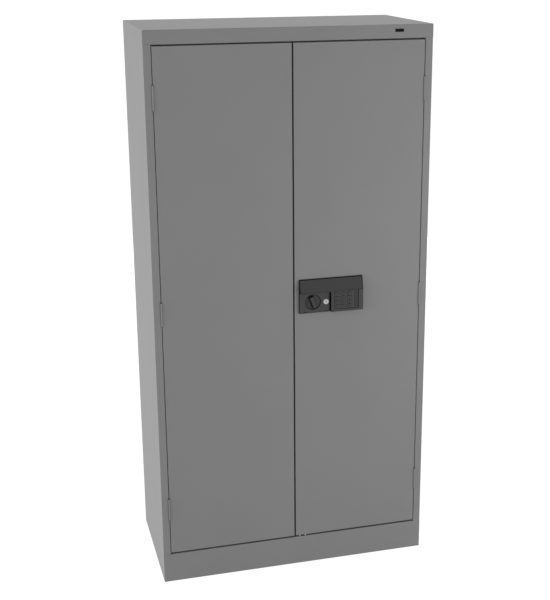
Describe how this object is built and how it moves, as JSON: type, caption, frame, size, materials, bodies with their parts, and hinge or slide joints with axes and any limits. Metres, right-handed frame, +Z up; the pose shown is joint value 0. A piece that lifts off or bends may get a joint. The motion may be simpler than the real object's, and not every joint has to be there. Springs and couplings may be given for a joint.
{
  "type": "two-door storage cabinet",
  "caption": "Free-standing grey steel storage cabinet with two hinged doors, adjustable shelves, a kick plate and an electronic keypad lock with a turn knob on the right door.",
  "frame": {"origin": "on the floor at the centre of the case's footprint", "axes": "+Z up, +X to the right of someone facing the doors, the doors face -Y"},
  "size_m": [0.9144, 0.4738, 1.8288],
  "materials": {
    "cabinet paint": "smooth powder coat, satin",
    "shelf paint": "smooth powder coat, satin",
    "zinc": "bright zinc plate",
    "black steel": "black oxide",
    "housing black": "fine moulded texture",
    "charcoal": "fine moulded texture",
    "knob charcoal": "smooth moulded",
    "key caps": "smooth moulded",
    "badge": "gloss",
    "rubber": "matte",
    "white plastic": "moulded",
    "light strip": "smoked, gloss",
    "board": "solder mask",
    "lock chrome": "polished",
    "cell wrap": "shrink sleeve",
    "coil": "moulded"
  },
  "bodies": {
    "cabinet": {"left_side_panel": "cabinet paint", "right_side_panel": "cabinet paint", "back_panel": "cabinet paint", "top_panel": "cabinet paint", "base_frame": "cabinet paint", "bottom_shelf": "shelf paint", "slotted_uprights": "zinc", "shelf_1": "shelf paint", "shelf_2": "shelf paint", "shelf_3": "shelf paint", "shelf_4": "shelf paint", "shelf_clips": "zinc", "corner_gussets": "cabinet paint", "hinge_frame_leaves": "cabinet paint", "hinge_pins": "black steel", "door_bumpers": "rubber", "nameplate": "badge"},
    "left_door": {"left_door_skin": "cabinet paint", "left_door_stiffener": "cabinet paint", "left_hinge_leaves": "cabinet paint", "left_door_strike": "zinc"},
    "right_door": {"right_door_skin": "cabinet paint", "right_door_stiffener": "cabinet paint", "right_hinge_leaves": "cabinet paint", "rod_guides": "white plastic", "lower_rod_guide": "zinc", "lock_housing": "housing black", "hood_plate": "charcoal", "knob_plate": "charcoal", "keypad_bezel": "charcoal", "indicator_strip": "light strip", "circuit_board": "board", "key_cylinder": "lock chrome", "lock_backplate": "zinc", "lock_inner_cover": "cabinet paint", "battery_holder": "housing black", "batteries": "cell wrap", "solenoid": "coil", "lock_fasteners": "zinc"},
    "knob": {"knob": "knob charcoal", "spindle": "zinc", "lock_cam": "zinc"},
    "upper_rod": {"upper_rod": "black steel"},
    "lower_rod": {"lower_rod": "black steel"},
    "centre_bolt": {"centre_bolt": "zinc"},
    "key_plug": {"key_plug": "lock chrome"},
    "solenoid_plunger": {"solenoid_plunger": "lock chrome"},
    "key_1": {"key_1": "key caps"},
    "key_2": {"key_2": "key caps"},
    "key_3": {"key_3": "key caps"},
    "key_4": {"key_4": "key caps"},
    "key_5": {"key_5": "key caps"},
    "key_6": {"key_6": "key caps"},
    "key_7": {"key_7": "key caps"},
    "key_8": {"key_8": "key caps"},
    "key_9": {"key_9": "key caps"},
    "key_star": {"key_star": "key caps"},
    "key_0": {"key_0": "key caps"},
    "key_hash": {"key_hash": "key caps"}
  },
  "joints": [
    {"name": "left_door_hinge", "type": "hinge", "parent": "cabinet", "child": "left_door", "pos_m": [-0.4322, -0.2296, 0.949], "axis": [0, 0, -1], "range_deg": [0, 170]},
    {"name": "right_door_hinge", "type": "hinge", "parent": "cabinet", "child": "right_door", "pos_m": [0.4322, -0.2296, 0.949], "axis": [0, 0, 1], "range_deg": [0, 170]},
    {"name": "upper_rod_slide", "type": "slide", "parent": "right_door", "child": "upper_rod", "axis": [0, 0, 1], "range_m": [0, 0.014]},
    {"name": "knob_turn", "type": "hinge", "parent": "right_door", "child": "knob", "pos_m": [0.062, -0.2286, 0.951], "axis": [0, 1, 0], "range_deg": [0, 90]},
    {"name": "lower_rod_slide", "type": "slide", "parent": "right_door", "child": "lower_rod", "axis": [0, 0, -1], "range_m": [0, 0.01401]},
    {"name": "centre_bolt_slide", "type": "slide", "parent": "right_door", "child": "centre_bolt", "axis": [-1, 0, 0], "range_m": [0, 0.01401]},
    {"name": "key_turn", "type": "hinge", "parent": "right_door", "child": "key_plug", "pos_m": [0.1063, -0.2286, 0.949], "axis": [0, 1, 0], "range_deg": [0, 90]},
    {"name": "plunger_slide", "type": "slide", "parent": "right_door", "child": "solenoid_plunger", "axis": [-1, 0, 0], "range_m": [0, 0.006], "stiffness_N_per_m": 150},
    {"name": "key_1_press", "type": "slide", "parent": "right_door", "child": "key_1", "axis": [0, 1, 0], "range_m": [0, 0.0015], "stiffness_N_per_m": 600},
    {"name": "key_2_press", "type": "slide", "parent": "right_door", "child": "key_2", "axis": [0, 1, 0], "range_m": [0, 0.0015], "stiffness_N_per_m": 600},
    {"name": "key_3_press", "type": "slide", "parent": "right_door", "child": "key_3", "axis": [0, 1, 0], "range_m": [0, 0.0015], "stiffness_N_per_m": 600},
    {"name": "key_4_press", "type": "slide", "parent": "right_door", "child": "key_4", "axis": [0, 1, 0], "range_m": [0, 0.0015], "stiffness_N_per_m": 600},
    {"name": "key_5_press", "type": "slide", "parent": "right_door", "child": "key_5", "axis": [0, 1, 0], "range_m": [0, 0.0015], "stiffness_N_per_m": 600},
    {"name": "key_6_press", "type": "slide", "parent": "right_door", "child": "key_6", "axis": [0, 1, 0], "range_m": [0, 0.0015], "stiffness_N_per_m": 600},
    {"name": "key_7_press", "type": "slide", "parent": "right_door", "child": "key_7", "axis": [0, 1, 0], "range_m": [0, 0.0015], "stiffness_N_per_m": 600},
    {"name": "key_8_press", "type": "slide", "parent": "right_door", "child": "key_8", "axis": [0, 1, 0], "range_m": [0, 0.0015], "stiffness_N_per_m": 600},
    {"name": "key_9_press", "type": "slide", "parent": "right_door", "child": "key_9", "axis": [0, 1, 0], "range_m": [0, 0.0015], "stiffness_N_per_m": 600},
    {"name": "key_star_press", "type": "slide", "parent": "right_door", "child": "key_star", "axis": [0, 1, 0], "range_m": [0, 0.0015], "stiffness_N_per_m": 600},
    {"name": "key_0_press", "type": "slide", "parent": "right_door", "child": "key_0", "axis": [0, 1, 0], "range_m": [0, 0.0015], "stiffness_N_per_m": 600},
    {"name": "key_hash_press", "type": "slide", "parent": "right_door", "child": "key_hash", "axis": [0, 1, 0], "range_m": [0, 0.0015], "stiffness_N_per_m": 600}
  ],
  "couplings": [
    {"joint": "knob_turn", "follows": "upper_rod_slide", "rad_per_m": 112.2},
    {"joint": "lower_rod_slide", "follows": "upper_rod_slide", "ratio": 1},
    {"joint": "centre_bolt_slide", "follows": "upper_rod_slide", "ratio": 1}
  ]
}
